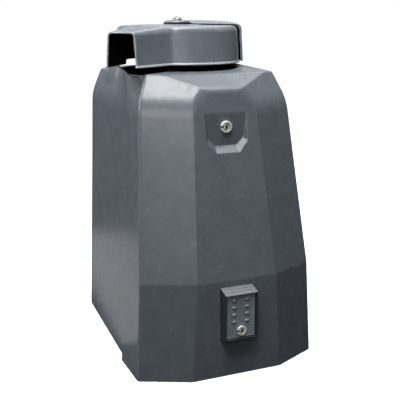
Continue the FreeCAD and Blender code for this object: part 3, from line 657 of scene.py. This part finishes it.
rub = Mat("rubber")
rub.set(Specular_IOR_Level=0.4)
rub.colour(rub.noise(90.0, 4.0), (0.010, 0.010, 0.010), (0.022, 0.022, 0.022)).rough(rub.noise(130.0), 0.55, 0.75)
rub.bump([(rub.noise(700.0, 3.0), 0.2, 0.0003)])
M["rubber"] = rub.m

wind = Mat("copper")
wind.set(Metallic=0.8)
lay = wind.noise(380.0, 2.0, 0.5, (1.0, 0.15, 6.0))
wind.colour(lay, (0.20, 0.075, 0.030), (0.62, 0.29, 0.13)).rough(lay, 0.30, 0.50)
wind.bump([(lay, 0.4, 0.0006)])
M["copper"] = wind.m

pcb = Mat("board_green")
pcb.set(Specular_IOR_Level=0.5, Coat_Weight=0.4, Coat_Roughness=0.2)
tr = pcb.t.nodes.new("ShaderNodeTexBrick")
tr.inputs["Scale"].default_value = 90.0
tr.inputs["Color1"].default_value = (0.010, 0.085, 0.030, 1)
tr.inputs["Color2"].default_value = (0.014, 0.115, 0.042, 1)
tr.inputs["Mortar"].default_value = (0.035, 0.180, 0.075, 1)
tr.inputs["Mortar Size"].default_value = 0.035
mp = pcb.t.nodes.new("ShaderNodeMapping")
mp.inputs["Rotation"].default_value = (math.radians(90), 0, 0)
pcb.t.links.new(pcb.co, mp.inputs["Vector"])
pcb.t.links.new(mp.outputs["Vector"], tr.inputs["Vector"])
pcb.t.links.new(tr.outputs["Color"], pcb.b.inputs["Base Color"])
pcb.rough(pcb.noise(120.0), 0.30, 0.42)
pcb.bump([(tr.outputs["Fac"], 0.25, 0.0002)])
M["board_green"] = pcb.m

for part in frame["record"]["subparts"]:
    ob = NODES[part["node"]]
    ob.data.materials.clear()
    ob.data.materials.append(M[part["material_slot"]])

NODES["output_shaft"].data.materials[0] = M["steel_black"]

PIECES = [
    (cover, "cover", "cover_plastic", ["cover_shell"]),
    (hood, "hood", "hood_plastic", ["hood_main"]),
    (sector, "hood", "hood_plastic", ["hood_sector"]),
    (rubber_washer, "hood", "rubber", ["hood_washer_rubber"]),
    (steel_washer, "hood", "zinc_steel", ["hood_washer_steel"]),
    (dome_nut, "hood", "zinc_steel", ["hood_bolt"]),
    (reset_frame, "cover", "box_plastic", ["reset_frame"]),
    (reset_door, "door", "box_plastic", ["reset_door"]),
    (cover_lock_body, "cover", "lock_metal", ["cover_lock_body"]),
    (cover_lock_plug, "cover_lock", "lock_metal", ["cover_lock_plug"]),
    (door_lock_body, "door", "lock_metal", ["door_lock_body"]),
    (door_lock_plug, "door_lock", "lock_metal", ["door_lock_plug"]),
]
for ob, body, slot_name, stands_for in PIECES:
    ob.data.materials.clear()
    # the box frame takes the near-black painted-shade copy in place of box_plastic
    ob.data.materials.append(M["frame_painted_shade"] if ob is reset_frame else M[slot_name])
    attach(ob, body)
    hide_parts(*stands_for)

# painted shade and light: inner faces, the box's contact line, keyways and grooves get near-black painted shade, the
# hood lip and spout end a painted highlight, and the box roof a lighter painted-light copy
for ob, where, finish in DARK:
    me = ob.data
    c = np.empty(len(me.polygons) * 3, np.float32)
    me.polygons.foreach_get("center", c)
    c = c.reshape(-1, 3).astype(float) / MM
    me.materials.append(M[finish])
    index = np.empty(len(me.polygons), np.int32)
    me.polygons.foreach_get("material_index", index)
    index[where(c[:, 0], c[:, 1], c[:, 2])] = len(me.materials) - 1
    me.polygons.foreach_set("material_index", index)
    me.update()

# ---------------------------------------------------------------------------
# Camera, floor and light
# ---------------------------------------------------------------------------
cam = bpy.data.cameras.new("camera")
cam.sensor_fit = "HORIZONTAL"
cam.sensor_width = 36.0
cam.lens = 36.0 * 758.38 / 400.0
cam.clip_start, cam.clip_end = 0.05, 100.0
cam_ob = bpy.data.objects.new("camera", cam)
cam_ob.location = (-0.58158, -1.47821, 0.65261)
cam_ob.rotation_euler = (math.radians(90.0 - 13.49), 0.0, math.radians(-23.16))
bpy.context.scene.collection.objects.link(cam_ob)
bpy.context.scene.camera = cam_ob

floor_me = bpy.data.meshes.new("studio_floor")
floor_me.from_pydata([(-30, -30, -0.0004), (30, -30, -0.0004), (30, 30, -0.0004), (-30, 30, -0.0004)], [], [(0, 1, 2, 3)])
floor = link("studio_floor", floor_me)
fm = Mat("studio_floor")
fm.set(Roughness=0.9, Specular_IOR_Level=0.0, Emission_Color=(1, 1, 1, 1))
fm.colour(fm.noise(3.0), (0.80, 0.80, 0.80), (0.82, 0.82, 0.82))
# painted light: the floor glows by its own emission, 0.84 within 0.45 m of the origin rising to 1.05 beyond 1.5 m, and
# is hidden from diffuse and glossy rays
away = fm.t.nodes.new("ShaderNodeVectorMath")
away.operation = "LENGTH"
fade = fm.t.nodes.new("ShaderNodeMapRange")
fade.interpolation_type = "SMOOTHSTEP"
for key, value in (("From Min", 0.45), ("From Max", 1.5), ("To Min", 0.84), ("To Max", 1.05)):
    fade.inputs[key].default_value = value
fm.t.links.new(fm.co, away.inputs[0])
fm.t.links.new(away.outputs["Value"], fade.inputs["Value"])
fm.t.links.new(fade.outputs["Result"], fm.b.inputs["Emission Strength"])
floor.data.materials.append(fm.m)
floor.visible_diffuse = False
floor.visible_glossy = False


def softbox(name, loc, aim, sx, sy, power, colour=(1, 1, 1)):
    li = bpy.data.lights.new(name, "AREA")
    li.shape = "RECTANGLE"
    li.size, li.size_y = sx, sy
    li.energy = power
    li.color = colour
    ob = bpy.data.objects.new(name, li)
    ob.location = loc
    ob.rotation_euler = (Vector(aim) - Vector(loc)).to_track_quat("-Z", "Y").to_euler()
    bpy.context.scene.collection.objects.link(ob)
    ob.visible_camera = False
    return ob


AIM = Vector((0.0, -0.15, 0.40))
BROW_LEFT, BROW_RIGHT = Vector((-0.085, -0.205, 0.528)), Vector((0.085, -0.205, 0.528))
BROW_MID, FACET_LEFT = Vector((0.0, -0.205, 0.54)), Vector((-0.11, -0.23, 0.45))
for lamp, aim, toward, reach, sx, sy, power in [
        ("key", BROW_LEFT, (-0.303, -0.521, 0.798), 2.2, 0.60, 0.50, 19.2),
        ("top", AIM, (-0.20, -0.20, 0.95), 2.2, 1.2, 1.2, 20.5),
        ("top_right", AIM, (0.45, 0.10, 0.90), 2.2, 1.2, 1.2, 9.8),
        ("zenith", AIM, (0.02, -0.06, 1.00), 2.2, 1.2, 1.2, 38.0),
        ("brow", BROW_MID, (0.414, 0.446, 0.793), 2.3, 1.0, 0.8, 2.8),
        ("right", BROW_RIGHT, (0.881, -0.030, 0.473), 2.2, 0.8, 0.8, 0.9),
        ("front", AIM, (-0.30, -0.95, 0.20), 2.4, 1.2, 1.2, 5.2),
        ("facet", FACET_LEFT, (-0.47, -0.82, 0.40), 2.3, 0.9, 0.6, 7.2),
        ("back", AIM, (0.39, 0.92, 0.12), 2.6, 2.6, 0.9, 5.0),
        ("back_top", AIM, (0.30, 0.75, 0.60), 2.4, 1.8, 0.8, 7.0),
        ("sill", AIM, (0.36, -0.20, 0.90), 2.3, 0.6, 0.6, 3.0),
        ("chamfer", Vector((0.031, -0.244, 0.428)), (-0.529, -0.121, 0.840), 2.3, 0.5, 0.5, 6.2),
        ("left", AIM, (-0.95, 0.10, 0.30), 2.2, 1.2, 1.4, 5.0),
        ("back_left", AIM, (-0.75, 0.58, 0.48), 2.3, 1.4, 1.5, 42.0)]:
    softbox(lamp, aim + Vector(toward) * reach, aim, sx, sy, power)
softbox("low_left", (-0.36, 0.37, 0.004), (-0.36, 0.37, 1.0), 0.32, 0.90, 0.44)

world = bpy.data.worlds.new("studio")
bpy.context.scene.world = world
world.use_nodes = True
wt = world.node_tree
wt.nodes.clear()
bg_seen = wt.nodes.new("ShaderNodeBackground")
bg_seen.inputs["Color"].default_value = (1, 1, 1, 1)
bg_seen.inputs["Strength"].default_value = 1.0
bg_fill = wt.nodes.new("ShaderNodeBackground")
bg_fill.inputs["Color"].default_value = (0.95, 0.98, 1.0, 1)
bg_fill.inputs["Strength"].default_value = 0.004
path = wt.nodes.new("ShaderNodeLightPath")
mix = wt.nodes.new("ShaderNodeMixShader")
wout = wt.nodes.new("ShaderNodeOutputWorld")
wt.links.new(path.outputs["Is Camera Ray"], mix.inputs["Fac"])
wt.links.new(bg_fill.outputs["Background"], mix.inputs[1])
wt.links.new(bg_seen.outputs["Background"], mix.inputs[2])
wt.links.new(mix.outputs["Shader"], wout.inputs["Surface"])

view = bpy.context.scene.view_settings
view.view_transform = "Standard"
view.look = "None"
view.exposure = 0.0
view.gamma = 1.0
